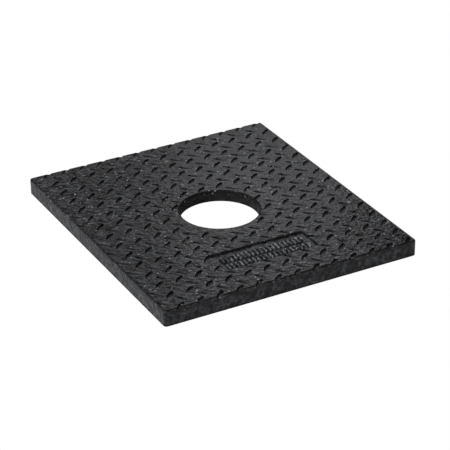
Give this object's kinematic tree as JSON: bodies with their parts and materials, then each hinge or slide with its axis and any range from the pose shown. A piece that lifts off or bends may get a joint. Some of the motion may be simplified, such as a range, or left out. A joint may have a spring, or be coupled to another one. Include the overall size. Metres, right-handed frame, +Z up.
{
  "type": "traffic channelizer base",
  "caption": "Flat rubber weight for a traffic channelizer: near-square slab with diamond-dimpled top, large centre post hole and recessed marking panel.",
  "frame": {"origin": "middle of the plate's outline, on the ground face", "axes": "+Z up, +Y from the edge beside the marking panel to the opposite edge, +X to the right along that edge"},
  "size_m": [0.4064, 0.4572, 0.0254],
  "materials": {
    "slab_rubber": "satin black moulded rubber",
    "tread_rubber": "satin black moulded rubber, diamond dimples",
    "panel_rubber": "satin black moulded rubber",
    "marking_rubber": "satin black moulded rubber"
  },
  "bodies": {
    "root": {"base_slab": "slab_rubber", "tread_face": "tread_rubber", "marking_panel": "panel_rubber", "marking_bars_back_row": "marking_rubber", "marking_bars_front_row": "marking_rubber"}
  },
  "joints": []
}
